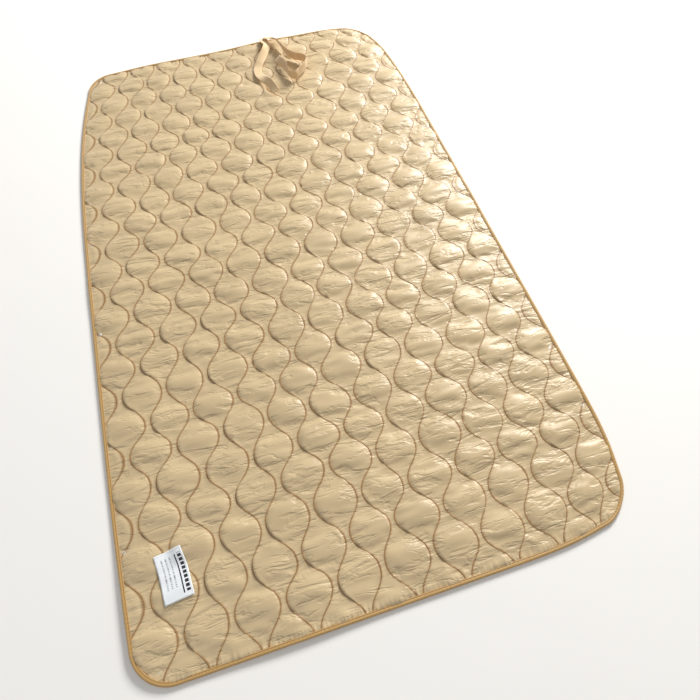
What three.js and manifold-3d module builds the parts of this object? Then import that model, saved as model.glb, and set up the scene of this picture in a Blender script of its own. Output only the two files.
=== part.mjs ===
// Quilted blanket with a bound edge, a woven label and two tie tapes at the head edge.
// Millimetres. +X across the width, +Y towards the head (tie) edge, +Z up. The origin is the centre of the underside.
import * as THREE from 'three';
import * as BufferGeometryUtils from 'three/addons/utils/BufferGeometryUtils.js';
import Module from 'manifold-3d';

const wasm = await Module();
wasm.setup();

// Overall sizes
const WIDTH = 1000;
const LENGTH = 1700;
const CORNER_RADIUS = 75;
const CLEARANCE = 0.3; // between pieces that lie on each other
const CORNER_STEPS = 8;

// Layers
const COVER = 0.8; // face and backing fabric
const RIM_WADDING = 1.6; // wadding squeezed inside the binding
const WADDING = 10.9; // wadding at full loft
const SHOULDER = 28; // width of the slope from the binding up to full loft

// Edge binding, a folded strip that wraps the raw edges
const BINDING_WALL = 1;
const BINDING_LEG = 10;
const BINDING_STITCH_INSET = 8;

// Quilting seams: wavy lines that swing towards and away from each other
const SEAM_COUNT = 21;
const SEAM_MARGIN = 20; // from the side edge to the outermost seam's middle line
const SEAM_SWING = 18;
const BULB_LENGTH = 140; // one bulb and one neck
const FIRST_BULB = 72; // from the foot edge to the middle of the first bulb
const STEPS_PER_BULB = 6;
const THREAD = 1;
const THREAD_HEIGHT = 0.8;
const MIN_STEP = 2; // between two points of a seam

// Woven label near the foot's left corner
const LABEL = { width: 52, length: 88, thick: 0.8, fromSide: 97, fromFoot: 172, turn: 4 };
const LABEL_STITCH = { inset: 3, width: 1, height: 0.5 };

// Tie tapes, sewn on at the head edge
const TAPE_WIDTH = 25;
const TAPE_THICK = 1.2;
const TIE_X = 128;
const ANCHOR_LENGTH = 8;
const ANCHOR_INSET = 4; // from the head edge to the anchor's free end
const BARTACK = { length: 20, width: 3, height: 0.6 };

// Heights that follow from the layers
const RIM_BASE = BINDING_WALL + CLEARANCE;
const RIM_WADDING_BASE = RIM_BASE + COVER + CLEARANCE;
const RIM_FACE_BASE = RIM_WADDING_BASE + RIM_WADDING + CLEARANCE;
const BINDING_HEIGHT = RIM_FACE_BASE + COVER + CLEARANCE + BINDING_WALL;
const WADDING_BASE = COVER + CLEARANCE;
const FACE_BASE = WADDING_BASE + WADDING + CLEARANCE;
const FACE_TOP = FACE_BASE + COVER;
const RIM = BINDING_WALL + CLEARANCE; // inset of everything inside the binding
const LEG_END = BINDING_LEG + 1;
const PLATEAU = BINDING_LEG + 2 + SHOULDER;
const SEAM_END = LEG_END + 2 * THREAD; // inset where a seam runs in under the binding
const SEAM_PITCH = (WIDTH - 2 * SEAM_MARGIN) / (SEAM_COUNT - 1);

const fabric = (color, roughness) => new THREE.MeshStandardMaterial({ color, roughness, metalness: 0 });
const SATIN = fabric('#d2b98f', 0.42);
const BACKING = fabric('#c9b289', 0.7);
const FIBRE = fabric('#f2efe8', 0.95);
const BINDING = fabric('#c39b5f', 0.5);
const THREAD_COLOUR = fabric('#a9814b', 0.6);
const TAPE = fabric('#e5bd8c', 0.75);
const LABEL_WHITE = fabric('#e9ecee', 0.6);
const LABEL_THREAD = fabric('#f4f4f0', 0.7);

const blanket = new THREE.Group();
blanket.name = 'quilted_blanket';

function addMesh(name, geometry, material, parent = blanket) {
  const mesh = new THREE.Mesh(geometry, material);
  mesh.name = name;
  parent.add(mesh);
  return mesh;
}

function toSolid(geometry) {
  const bare = geometry.index ? geometry.toNonIndexed() : geometry.clone();
  for (const key of ['normal', 'uv']) bare.deleteAttribute(key);
  const merged = BufferGeometryUtils.mergeVertices(bare, 1e-4);
  return new wasm.Manifold(new wasm.Mesh({
    numProp: 3,
    vertProperties: new Float32Array(merged.attributes.position.array),
    triVerts: new Uint32Array(merged.index.array),
  }));
}

function toGeometry(solid) {
  const mesh = solid.getMesh();
  const geometry = new THREE.BufferGeometry();
  geometry.setAttribute('position', new THREE.BufferAttribute(new Float32Array(mesh.vertProperties), 3));
  geometry.setIndex(new THREE.BufferAttribute(new Uint32Array(mesh.triVerts), 1));
  return geometry;
}

// The blanket's outline pushed in by inset, as points that run anticlockwise round four round corners.
function outline(inset) {
  const radius = Math.max(CORNER_RADIUS - inset, 1);
  const cx = WIDTH / 2 - inset - radius;
  const cy = LENGTH / 2 - inset - radius;
  const points = [];
  [[1, 1], [-1, 1], [-1, -1], [1, -1]].forEach(([sx, sy], corner) => {
    for (let i = 0; i <= CORNER_STEPS; i++) {
      const angle = (corner + i / CORNER_STEPS) * Math.PI / 2;
      points.push([sx * cx + radius * Math.cos(angle), sy * cy + radius * Math.sin(angle)]);
    }
  });
  return points;
}

// A layer of the blanket: rings of the outline at each [inset, z], joined in order. A closed layer joins its last ring
// to its first, as a folded strip does, and any other has a flat panel over its first and last rings.
function layer(profile, closed = false) {
  const rings = profile.map(([inset, z]) => outline(inset).map(([x, y]) => [x, y, z]));
  const count = rings[0].length;
  const positions = rings.flat(2);
  const index = [];
  const bands = closed ? rings.length : rings.length - 1;
  for (let r = 0; r < bands; r++) {
    const a = r * count;
    const b = ((r + 1) % rings.length) * count;
    for (let i = 0; i < count; i++) {
      const j = (i + 1) % count;
      index.push(a + i, a + j, b + j, a + i, b + j, b + i);
    }
  }
  if (!closed) {
    const top = (rings.length - 1) * count;
    for (let i = 1; i < count - 1; i++) {
      index.push(0, i + 1, i);
      index.push(top, top + i, top + i + 1);
    }
  }
  const geometry = new THREE.BufferGeometry();
  geometry.setAttribute('position', new THREE.Float32BufferAttribute(positions, 3));
  geometry.setIndex(index);
  return geometry;
}

const HALVES = [['foot', -1], ['head', 1]];

// Cuts a full-length layer at the cross fold, so that each half turns with its own side.
function addHalves(name, geometry, material) {
  const whole = toSolid(geometry);
  for (const [half, side] of HALVES) {
    const block = new THREE.BoxGeometry(WIDTH * 2, LENGTH, FACE_TOP * 8);
    block.translate(0, side * (LENGTH / 2 + CLEARANCE / 2), 0);
    addMesh(`${half}_${name}`, toGeometry(whole.intersect(toSolid(block))), material);
  }
}

addHalves('backing_fabric', layer([
  [LEG_END + 3, 0],
  [LEG_END, RIM_BASE],
  [RIM, RIM_BASE],
  [RIM, RIM_BASE + COVER],
  [LEG_END + CLEARANCE, RIM_BASE + COVER],
  [LEG_END + 3 + CLEARANCE, COVER],
]), BACKING);

addHalves('wadding', layer([
  [LEG_END + 3 + 2 * CLEARANCE, WADDING_BASE],
  [LEG_END + 2 * CLEARANCE, RIM_WADDING_BASE],
  [RIM, RIM_WADDING_BASE],
  [RIM, RIM_WADDING_BASE + RIM_WADDING],
  [PLATEAU - SHOULDER, RIM_WADDING_BASE + RIM_WADDING],
  [PLATEAU, WADDING_BASE + WADDING],
]), FIBRE);

addHalves('face_fabric', layer([
  [PLATEAU, FACE_BASE],
  [PLATEAU - SHOULDER, RIM_FACE_BASE],
  [RIM, RIM_FACE_BASE],
  [RIM, RIM_FACE_BASE + COVER],
  [PLATEAU - SHOULDER, RIM_FACE_BASE + COVER],
  [PLATEAU, FACE_TOP],
]), SATIN);

addHalves('edge_binding', layer([
  [BINDING_LEG, 0],
  [1, 0],
  [0, 1.6],
  [0, BINDING_HEIGHT - 1.6],
  [1, BINDING_HEIGHT],
  [BINDING_LEG, BINDING_HEIGHT],
  [BINDING_LEG, BINDING_HEIGHT - BINDING_WALL],
  [BINDING_WALL, BINDING_HEIGHT - BINDING_WALL],
  [BINDING_WALL, BINDING_WALL],
  [BINDING_LEG, BINDING_WALL],
], true), BINDING);

const stitchBase = BINDING_HEIGHT + CLEARANCE;
addHalves('binding_thread', layer([
  [BINDING_STITCH_INSET - THREAD / 2, stitchBase],
  [BINDING_STITCH_INSET, stitchBase + THREAD_HEIGHT],
  [BINDING_STITCH_INSET + THREAD / 2, stitchBase],
], true), THREAD_COLOUR);

// How far a point lies inside the blanket's outline.
function insetAt(x, y) {
  const px = Math.abs(x) - (WIDTH / 2 - CORNER_RADIUS);
  const py = Math.abs(y) - (LENGTH / 2 - CORNER_RADIUS);
  if (px > 0 && py > 0) return CORNER_RADIUS - Math.hypot(px, py);
  return CORNER_RADIUS - Math.max(px, py);
}

// Height of the face fabric at a distance inside the outline.
function faceHeight(inset) {
  const rise = THREE.MathUtils.clamp((inset - (PLATEAU - SHOULDER)) / SHOULDER, 0, 1);
  return THREE.MathUtils.lerp(RIM_FACE_BASE + COVER, FACE_TOP, rise);
}

// Middle line of seam k at y: a wave about its own pitch line, and neighbours swing opposite ways.
function seamX(k, y) {
  const phase = 2 * Math.PI * (y + LENGTH / 2 - FIRST_BULB) / BULB_LENGTH;
  const wave = (Math.cos(phase) - 0.04 * Math.cos(3 * phase)) / 0.96;
  const side = k % 2 === 0 ? -1 : 1;
  const reach = WIDTH / 2 - SEAM_END - THREAD;
  return THREE.MathUtils.clamp(k * SEAM_PITCH + side * SEAM_SWING * wave, -reach, reach);
}

// Round corners, and one step before them, need closer points.
const inCorner = (x, y) => Math.abs(x) > WIDTH / 2 - CORNER_RADIUS - SEAM_SWING
  && Math.abs(y) > LENGTH / 2 - CORNER_RADIUS - BULB_LENGTH / STEPS_PER_BULB;

// Points of one half of seam k, from the fold outwards, with one more where it crosses the edge of the flat panel.
function seamPoints(k, side) {
  const fine = BULB_LENGTH / STEPS_PER_BULB / 8;
  const points = [];
  const push = (x, y) => points.push(new THREE.Vector3(x, y, faceHeight(insetAt(x, y)) + CLEARANCE));
  const start = side * CLEARANCE / 2;
  push(seamX(k, start), start);
  const first = Math.round((LENGTH / 2 - FIRST_BULB) / fine);
  let last = start;
  for (let i = 1; i * fine < LENGTH / 2 + fine; i++) {
    const y = side * i * fine;
    const here = insetAt(seamX(k, y), y);
    const before = insetAt(seamX(k, last), last);
    for (const ridge of [PLATEAU, SEAM_END]) {
      if (before > ridge !== here > ridge) {
        const share = (before - ridge) / (before - here);
        const cross = THREE.MathUtils.lerp(last, y, share);
        if (points.length > 1 && Math.abs(cross - points.at(-1).y) < MIN_STEP) points.pop();
        push(seamX(k, cross), cross);
        if (ridge === SEAM_END) return points;
      }
    }
    const stride = inCorner(seamX(k, y), y) ? 2 : 8;
    if (Math.abs(i + side * first) % stride === 0 && Math.abs(y - points.at(-1).y) > MIN_STEP) push(seamX(k, y), y);
    last = y;
  }
  return points;
}

// A thread laid along points: a three-sided bar, flat below.
function threadBar(points, width, height) {
  const section = [[-width / 2, 0], [width / 2, 0], [0, height]];
  const positions = [];
  const index = [];
  points.forEach((point, i) => {
    const along = points[Math.min(i + 1, points.length - 1)].clone().sub(points[Math.max(i - 1, 0)]);
    const across = new THREE.Vector3(along.y, -along.x, 0).normalize();
    for (const [u, v] of section) positions.push(point.x + across.x * u, point.y + across.y * u, point.z + v);
  });
  for (let i = 0; i < points.length - 1; i++) {
    for (let s = 0; s < 3; s++) {
      const a = i * 3 + s;
      const b = i * 3 + (s + 1) % 3;
      index.push(a, a + 3, b, b, a + 3, b + 3);
    }
  }
  const end = (points.length - 1) * 3;
  index.push(0, 1, 2, end, end + 2, end + 1);
  const geometry = new THREE.BufferGeometry();
  geometry.setAttribute('position', new THREE.Float32BufferAttribute(positions, 3));
  geometry.setIndex(index);
  return geometry;
}

const middle = (SEAM_COUNT - 1) / 2;
for (const [half, side] of HALVES) {
  for (let s = 0; s < SEAM_COUNT; s++) {
    const name = `${half}_quilting_thread_${String(s + 1).padStart(2, '0')}`;
    addMesh(name, threadBar(seamPoints(s - middle, side), THREAD, THREAD_HEIGHT), THREAD_COLOUR);
  }
}

// The label lies over the seams. Its stitching is a thin frame on top.
const label = new THREE.Group();
label.position.set(-WIDTH / 2 + LABEL.fromSide, -LENGTH / 2 + LABEL.fromFoot, FACE_TOP + 2 * CLEARANCE + THREAD_HEIGHT);
label.rotation.z = THREE.MathUtils.degToRad(LABEL.turn);
blanket.add(label);
const labelPanel = new THREE.BoxGeometry(LABEL.width, LABEL.length, LABEL.thick);
labelPanel.translate(0, 0, LABEL.thick / 2);
addMesh('woven_label', labelPanel, LABEL_WHITE, label);

function rectangle(width, length) {
  const shape = new THREE.Shape();
  shape.moveTo(-width / 2, -length / 2);
  shape.lineTo(width / 2, -length / 2);
  shape.lineTo(width / 2, length / 2);
  shape.lineTo(-width / 2, length / 2);
  shape.closePath();
  return shape;
}

const frame = rectangle(LABEL.width - 2 * LABEL_STITCH.inset, LABEL.length - 2 * LABEL_STITCH.inset);
const frameInside = LABEL_STITCH.inset + LABEL_STITCH.width;
frame.holes.push(rectangle(LABEL.width - 2 * frameInside, LABEL.length - 2 * frameInside));
const labelFrame = new THREE.ExtrudeGeometry(frame, { depth: LABEL_STITCH.height, bevelEnabled: false });
labelFrame.translate(0, 0, LABEL.thick + CLEARANCE);
addMesh('label_thread', labelFrame, LABEL_THREAD, label);

// The tapes' sewn middle, on the binding, with a dense bar of stitches across it.
const anchorBase = BINDING_HEIGHT + 2 * CLEARANCE + THREAD_HEIGHT;
const anchorEnd = LENGTH / 2 - ANCHOR_INSET;
const anchor = new THREE.BoxGeometry(TAPE_WIDTH, ANCHOR_LENGTH, TAPE_THICK);
anchor.translate(TIE_X, anchorEnd - ANCHOR_LENGTH / 2, anchorBase + TAPE_THICK / 2);
addMesh('tie_anchor', anchor, TAPE);
const bartack = new THREE.BoxGeometry(BARTACK.length, BARTACK.width, BARTACK.height);
const bartackZ = anchorBase + TAPE_THICK + CLEARANCE + BARTACK.height / 2;
bartack.translate(TIE_X, anchorEnd - BARTACK.width - 2, bartackZ);
addMesh('tie_bartack', bartack, THREAD_COLOUR);

// Each tape as [x from the tie's root, distance in from the head edge, height above the seams, lean]: lean 0 lies flat
// and 90 stands on its edge. The height is that of the tape's lower edge, or of its middle where it lies flat.
const TAPE_A = [
  [-5, 1.5, -1.2, 0], [-5, 12, 2.2, 2], [-6, 24, 2.2, 9], [-3, 42, 3.2, 20], [-3, 60, 3.8, 38], [-11, 78, 3.2, 48],
  [-24, 96, 2.5, 34], [-38, 114, 2.6, 16], [-50, 132, 0.7, 3], [-58, 150, 0.4, 0], [-60, 170, 0.4, 0],
  [-57, 190, 2, -10], [-50, 210, 2, -30], [-42, 230, 2.5, -44], [-35, 249, 2.4, -34], [-28, 268, 2.1, -18],
];
const TAPE_B = [
  [9, 2.5, 1.25, 0], [9, 14, 5.35, 8], [20, 29, 5.75, 24], [31, 44, 4.2, 56], [38, 62, 2.5, 72], [43, 82, 2.1, 80],
  [49, 104, 1.7, 86], [58, 125, 1.5, 90], [73, 142, 1.5, 90], [91, 153, 1.5, 90], [102, 168, 1.5, 90],
  [94, 185, 1.5, 88], [79, 198, 1.4, 84], [62, 210, 1.3, 80], [45, 221, 1.1, 86], [31, 215, 1.3, 90],
  [26, 199, 1.3, 88], [26, 180, 0.9, 76], [24, 160, 0.8, 60], [19, 140, 1.3, 44], [14, 121, 1.9, 28],
];

// A tape as a flat bar carried along its points and turned by each point's lean.
function tapeRibbon(route) {
  const points = route.map(([x, inward, height, lean]) => {
    const rise = height + Math.abs(Math.sin(THREE.MathUtils.degToRad(lean))) * TAPE_WIDTH / 2;
    return new THREE.Vector3(TIE_X + x, LENGTH / 2 - inward, FACE_TOP + CLEARANCE + THREAD_HEIGHT + rise);
  });
  const positions = [];
  const index = [];
  points.forEach((point, i) => {
    const along = points[Math.min(i + 1, points.length - 1)].clone().sub(points[Math.max(i - 1, 0)]).normalize();
    const side = new THREE.Vector3(along.y, -along.x, 0).normalize();
    const lean = THREE.MathUtils.degToRad(route[i][3]);
    const across = side.applyAxisAngle(along, -lean);
    const through = across.clone().cross(along);
    for (const [u, v] of [[-1, -1], [1, -1], [1, 1], [-1, 1]]) {
      const corner = point.clone().addScaledVector(across, u * TAPE_WIDTH / 2).addScaledVector(through, v * TAPE_THICK / 2);
      positions.push(...corner.toArray());
    }
  });
  for (let i = 0; i < points.length - 1; i++) {
    for (let s = 0; s < 4; s++) {
      const a = i * 4 + s;
      const b = i * 4 + (s + 1) % 4;
      // The upper and the lower face split along the same diagonal, so that a twisted length keeps its thickness.
      index.push(...(s === 2 ? [a, a + 4, b + 4, a, b + 4, b] : [a, a + 4, b, b, a + 4, b + 4]));
    }
  }
  const end = (points.length - 1) * 4;
  index.push(0, 1, 2, 0, 2, 3, end, end + 2, end + 1, end, end + 3, end + 2);
  const geometry = new THREE.BufferGeometry();
  geometry.setAttribute('position', new THREE.Float32BufferAttribute(positions, 3));
  geometry.setIndex(index);
  return geometry;
}

addMesh('tie_tape_a', tapeRibbon(TAPE_A), TAPE);
addMesh('tie_tape_b', tapeRibbon(TAPE_B), TAPE);

export default blanket;
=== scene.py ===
"""Quilted blanket: satin cover, wadding, bound edge, quilting seams, woven label and tie tapes."""
import math

import bpy
import numpy as np
from bpy.props import FloatProperty, FloatVectorProperty, IntProperty, PointerProperty
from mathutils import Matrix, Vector


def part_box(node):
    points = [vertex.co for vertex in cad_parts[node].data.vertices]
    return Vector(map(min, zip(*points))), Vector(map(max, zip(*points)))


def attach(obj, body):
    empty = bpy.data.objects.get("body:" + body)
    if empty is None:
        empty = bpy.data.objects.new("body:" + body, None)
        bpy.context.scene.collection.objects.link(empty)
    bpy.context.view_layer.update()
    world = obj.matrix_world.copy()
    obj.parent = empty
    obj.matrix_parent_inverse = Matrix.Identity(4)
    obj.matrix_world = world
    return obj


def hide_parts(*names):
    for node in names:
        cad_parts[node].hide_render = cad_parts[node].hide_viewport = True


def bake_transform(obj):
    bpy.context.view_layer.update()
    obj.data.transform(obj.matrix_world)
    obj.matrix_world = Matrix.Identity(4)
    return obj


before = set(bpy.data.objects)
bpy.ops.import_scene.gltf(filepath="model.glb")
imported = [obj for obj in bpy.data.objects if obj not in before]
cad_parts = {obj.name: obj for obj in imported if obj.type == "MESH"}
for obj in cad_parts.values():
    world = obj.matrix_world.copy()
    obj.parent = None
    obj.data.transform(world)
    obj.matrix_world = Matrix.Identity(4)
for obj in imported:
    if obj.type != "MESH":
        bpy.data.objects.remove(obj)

bl_info = {
    "name": "Quilted blanket",
    "version": (1, 0, 0),
    "blender": (4, 5, 0),
    "location": "3D View > Sidebar > Blanket",
    "description": "Makes a puffed, quilted blanket with a bound edge, a woven label and two tie tapes",
    "category": "Add Mesh",
}

MM = 0.001
HEAD, FOOT, TIES = "head_half", "foot_half", "tie_tapes"
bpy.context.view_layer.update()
HALF_WIDTH, HALF_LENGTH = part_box("head_edge_binding")[1][:2]
SEAM_COUNT = sum(name.startswith("foot_quilting_thread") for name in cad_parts)
RIM = 3 * MM  # from the outline to the cut edge of the covers, inside the binding
SEAM_HEIGHT = 6.6 * MM  # of the stitched lines above the floor
RIM_HEIGHT = 4.3 * MM  # of the same lines where they run in under the binding
FLOOR_GAP = 0.4 * MM  # between the floor and the lowest places of the lining
FABRIC_GAP = 0.5 * MM  # between the covers where a seam presses them together
WADDING_EDGE = 13 * MM  # from the outline to where the wadding has any thickness
RIM_GAP = 2.2 * MM  # between the covers at the rim, where a strip of wadding is bound in
MOST_PUFF = 13.5 * MM  # of the face above its seams
DRAWN_UP, SETTLED = 12, 19  # frames by which the seams are drawn up, and by which the cloth has settled
OUTLINE_STEP = 2.4 * MM  # between the binding's stations along the outline
UP = np.array([0, 0, 1.0])


# ---------------------------------------------------------------- settings


def linear(code):
    """An sRGB hex colour as linear red, green and blue."""
    parts = [int(code[i : i + 2], 16) / 255 for i in (1, 3, 5)]
    return tuple(c / 12.92 if c <= 0.04045 else ((c + 0.055) / 1.055) ** 2.4 for c in parts)


def length_value(name, text, default):
    """A size in metres, shown in the scene's unit."""
    size = {"default": default, "min": 0.0, "max": 3.0, "subtype": "DISTANCE", "unit": "LENGTH"}
    return FloatProperty(name=name, description=text, **size)


def share_value(name, text, default):
    """A plain share of something."""
    return FloatProperty(name=name, description=text, default=default, subtype="FACTOR")


def colour_value(name, text, code):
    """A colour from its sRGB hex code."""
    colour = {"default": linear(code), "size": 3, "min": 0, "max": 1, "subtype": "COLOR"}
    return FloatVectorProperty(name=name, description=text, **colour)


class BlanketSizes(bpy.types.PropertyGroup):
    corner: length_value("Corner", "Radius of the round corners", 75 * MM)
    seam_margin: length_value("Seam margin", "From a side edge to the middle line of its first seam", 20 * MM)
    seam_swing: length_value("Seam swing", "How far a seam swings to each side", 18 * MM)
    bulb: length_value("Bulb length", "Length of one bulb and one neck", 140 * MM)
    first_bulb: length_value("First bulb", "From the foot edge to the middle of the first bulb", 72 * MM)
    columns: IntProperty(name="Columns", description="Mesh columns in each cell", default=10, min=6, max=20)
    row: length_value("Row", "Length of one mesh row along the blanket", 4.8 * MM)
    spare_across: share_value("Spare across", "Spare cloth across the blanket", 0.032)
    spare_along: share_value("Spare along", "Spare cloth that the seams draw up", 0.07)
    pressure: FloatProperty(name="Loft", description="Push of the wadding on the cloth", default=2.2)
    tape_width: length_value("Tape width", "Width of the tie tapes", 25 * MM)
    tape_thick: length_value("Tape thickness", "Thickness of the tie tapes", 1.1 * MM)


class BlanketColours(bpy.types.PropertyGroup):
    satin: colour_value("Satin", "Face fabric", "#d0b991")
    # Painted shade: the colour painted on the covers deep in their seams.
    painted_seam_shade: colour_value("Groove", "Face fabric deep in a seam", "#96672e")
    backing: colour_value("Backing", "Backing fabric", "#c4ab80")
    fibre: colour_value("Fibre", "Wadding", "#f2eee6")
    binding: colour_value("Binding", "Edge binding", "#c6a064")
    thread: colour_value("Thread", "Quilting and binding thread", "#a47c45")
    tape: colour_value("Tape", "Tie tapes", "#ecd2a8")
    label: colour_value("Label", "Woven label ground", "#f0f5fa")
    mark: colour_value("Mark", "Woven label marks", "#20242a")
    # Painted shade: the colours painted on the binding and the tapes in the furrows between their ribs.
    binding_furrow_shade: colour_value("Binding furrow", "Edge binding between its ribs", "#b08848")
    tape_furrow_shade: colour_value("Tape furrow", "Tie tapes between their ribs", "#d0a672")
    label_thread: colour_value("Label thread", "Stitching round the label", "#eceae4")
    floor: colour_value("Floor", "Floor", "#fcfbf9")


def sizes():
    """The sizes as they are set now."""
    return bpy.context.scene.blanket_sizes


def colours():
    """The colours as they are set now."""
    return bpy.context.scene.blanket_colours


# ---------------------------------------------------------------- shape of the blanket


def smooth(low, high, value):
    """0 below low, 1 above high, and an S-curve between."""
    t = np.clip((value - low) / (high - low), 0, 1)
    return t * t * (3 - 2 * t)


def soft_floor(height, width):
    """Height kept above 0, easing in over width."""
    return np.where(height > width, height, width * np.exp(np.minimum(height / width - 1, 0)))


def inset_of(x, y):
    """Distance inside the outline: to the nearest side, or to the corner's arc where that is nearest."""
    corner = sizes().corner
    px = np.abs(x) - (HALF_WIDTH - corner)
    py = np.abs(y) - (HALF_LENGTH - corner)
    return corner - np.where((px > 0) & (py > 0), np.hypot(px, py), np.maximum(px, py))


def hold_inside(x, y, inset):
    """Points that lie nearer the outline than inset, moved square to it until they don't."""
    corner = sizes().corner
    cx, cy, radius = HALF_WIDTH - corner, HALF_LENGTH - corner, corner - inset
    ox, oy = np.abs(x) - cx, np.abs(y) - cy
    at_corner = (ox > 0) & (oy > 0)
    pull = np.minimum(1, radius / np.maximum(np.hypot(ox, oy), 1e-9))
    ox = np.where(at_corner, ox * pull, np.minimum(ox, radius))
    oy = np.where(at_corner, oy * pull, np.minimum(oy, radius))
    return np.sign(x) * (cx + ox), np.sign(y) * (cy + oy)


def seam_x(k, y):
    """Middle line of seam k at y: a cosine with rounder bulbs, about its pitch line. Neighbours swing
    opposite ways."""
    s = sizes()
    pitch = 2 * (HALF_WIDTH - s.seam_margin) / (SEAM_COUNT - 1)
    phase = 2 * math.pi * (y + HALF_LENGTH - s.first_bulb) / s.bulb
    wave = (np.cos(phase) - 0.04 * np.cos(3 * phase)) / 0.96
    return k * pitch + np.where(k % 2 == 0, -1, 1) * s.seam_swing * wave


def seam_height(inset):
    """Height of a stitched seam: low where it runs in under the binding, and up on the wadding inside."""
    return RIM_HEIGHT + (SEAM_HEIGHT - RIM_HEIGHT) * smooth(8 * MM, 45 * MM, inset)


def bump(x, y, cx, cy, wide, long):
    """A soft round hill of height 1 at (cx, cy)."""
    return np.exp(-(((x - cx) / wide) ** 2 + ((y - cy) / long) ** 2))


def lay(points):
    """Where a point of the flat blanket lies on the floor. The head end draws in towards its corners and bows
    out in the middle, three corners are pulled round, small sine warps keep the seams from being straight, and
    soft hills lift the cloth off the floor."""
    p = np.array(points, float)
    x, y, z = p[..., 0], p[..., 1], p[..., 2]
    left = np.clip((y - 0.25) / 0.46, 0, 1.15) ** 2 * smooth(0.05, -0.5, x) * 41 * MM
    right = np.clip((y - 0.4) / 0.35, 0, 1.15) ** 2 * smooth(0.1, 0.5, x) * 20 * MM
    head_right = bump(x, y, 0.5, 0.85, 0.11, 0.11)
    foot_right = bump(x, y, 0.5, -0.85, 0.13, 0.13)
    foot_left = bump(x, y, -0.47, -0.82, 0.16, 0.2)
    waist = bump(x, y, -0.36, 0.38, 0.15, 0.17)
    belly = 2 * MM * np.clip(1 - (y / 0.75) ** 2, 0, 1) * x / 0.5
    bow = 5 * MM * smooth(0.55, 0.85, y) * np.clip(1 - (x / 0.46) ** 2, 0, 1)
    nx = x + left - right + belly - 20 * MM * head_right
    nx += 8 * MM * waist + 9 * MM * foot_left - 27 * MM * foot_right
    ny = y + bow - 18 * MM * head_right + 20 * MM * foot_right
    loose = smooth(0.02, 0.12, inset_of(x, y)) * MM
    nx += loose * (3.2 * np.sin(21 * y + 7 * x) + 2.2 * np.sin(24 * x - 13 * y + 1))
    ny += loose * (3.6 * np.sin(19 * x + 9 * y + 2) + 2.4 * np.sin(31 * y - 8 * x))
    lift = 5 * MM * bump(x, y, 0.14, 0.87, 0.10, 0.13) + 3 * MM * bump(x, y, -0.27, 0.86, 0.12, 0.10)
    lift += 9 * MM * bump(x, y, 0.37, 0.74, 0.12, 0.11) + 5 * MM * bump(x, y, -0.5, -0.74, 0.05, 0.12)
    lift += 3 * MM * bump(x, y, 0.05, 0.02, 0.5, 0.05) + 3 * MM * bump(x, y, -0.2, -0.86, 0.10, 0.05)
    return np.stack([nx, ny, z + lift], -1)


class Quilt:
    """The sewn cloth as grids of points. Each row runs across the blanket through every seam. Its points crowd
    towards the seams: between two of them they stand at shares t - 0.1 sin(2 pi t), t even from 0 to 1."""

    def __init__(self):
        s = sizes()
        self.margin = 2 * (s.columns // 5)
        rows = 2 * int(round(HALF_LENGTH / s.row)) + 1
        y = np.linspace(-HALF_LENGTH, HALF_LENGTH, rows)
        middle = (SEAM_COUNT - 1) // 2
        k = np.arange(-middle, middle + 1)
        seams = seam_x(k[None, :], y[:, None])
        edge = np.full((rows, 1), HALF_WIDTH)
        seams = np.clip(seams, -HALF_WIDTH + 1.5 * MM, HALF_WIDTH - 1.5 * MM)
        lines = [-edge, *np.split(seams, SEAM_COUNT, 1), edge]
        steps = [self.margin, *[s.columns] * (SEAM_COUNT - 1), self.margin]
        shares = [np.arange(n) / n - 0.1 * np.sin(2 * math.pi * np.arange(n) / n) for n in steps]
        parts = [a + (b - a) * t for a, b, t in zip(lines, lines[1:], shares)]
        x = np.concatenate([*parts, edge], 1)
        share = np.concatenate([*shares, [0.0]])
        widths = [np.repeat(b - a, n, 1) for a, b, n in zip(lines, lines[1:], steps)]
        wide = np.concatenate([*widths, edge * 0], 1)
        self.y = y
        self.inset = inset_of(x, np.broadcast_to(y[:, None], x.shape))
        self.cut = np.stack([x, np.broadcast_to(y[:, None], x.shape)], -1)
        self.x, self.flat_y = hold_inside(x, np.broadcast_to(y[:, None], x.shape), RIM)
        self.on_seam = np.zeros(x.shape, bool)
        self.on_seam[:, self.margin :: s.columns][:, :SEAM_COUNT] = True
        self.base = seam_height(self.inset)
        self.gap = FABRIC_GAP + (RIM_GAP - FABRIC_GAP) * smooth(45 * MM, 12 * MM, self.inset)
        self.hump = (4 * share * (1 - share))[None, :] ** 0.6 * (wide / 0.084) ** 0.7
        self.face = np.stack([self.x, self.flat_y, self.base], -1)
        self.faces = self.quads()
        self.used = np.unique(self.faces)
        self.from_seam = np.minimum(share, 1 - share)[None, :] * wide

    def quads(self):
        """Faces of the grid, less those that lie wholly outside the cut edge."""
        rows, columns = self.x.shape
        i = (np.arange(rows - 1)[:, None] * columns + np.arange(columns - 1)[None, :]).ravel()
        found = np.stack([i, i + 1, i + 1 + columns, i + columns], 1)
        outside = (self.inset < RIM + 1e-7).ravel()
        return found[~outside[found].all(1)]

    def height_at(self, x, y):
        """Height of the face at flat places x, y, from the nearest point of the nearest row."""
        row = np.clip(np.rint((y + HALF_LENGTH) / (self.y[1] - self.y[0])).astype(int), 0, len(self.y) - 1)
        column = np.abs(self.face[row, :, 0] - x[:, None]).argmin(1)
        return self.face[row, column, 2]


QUILT = []  # holds the quilted cloth once it is worked out


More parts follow.
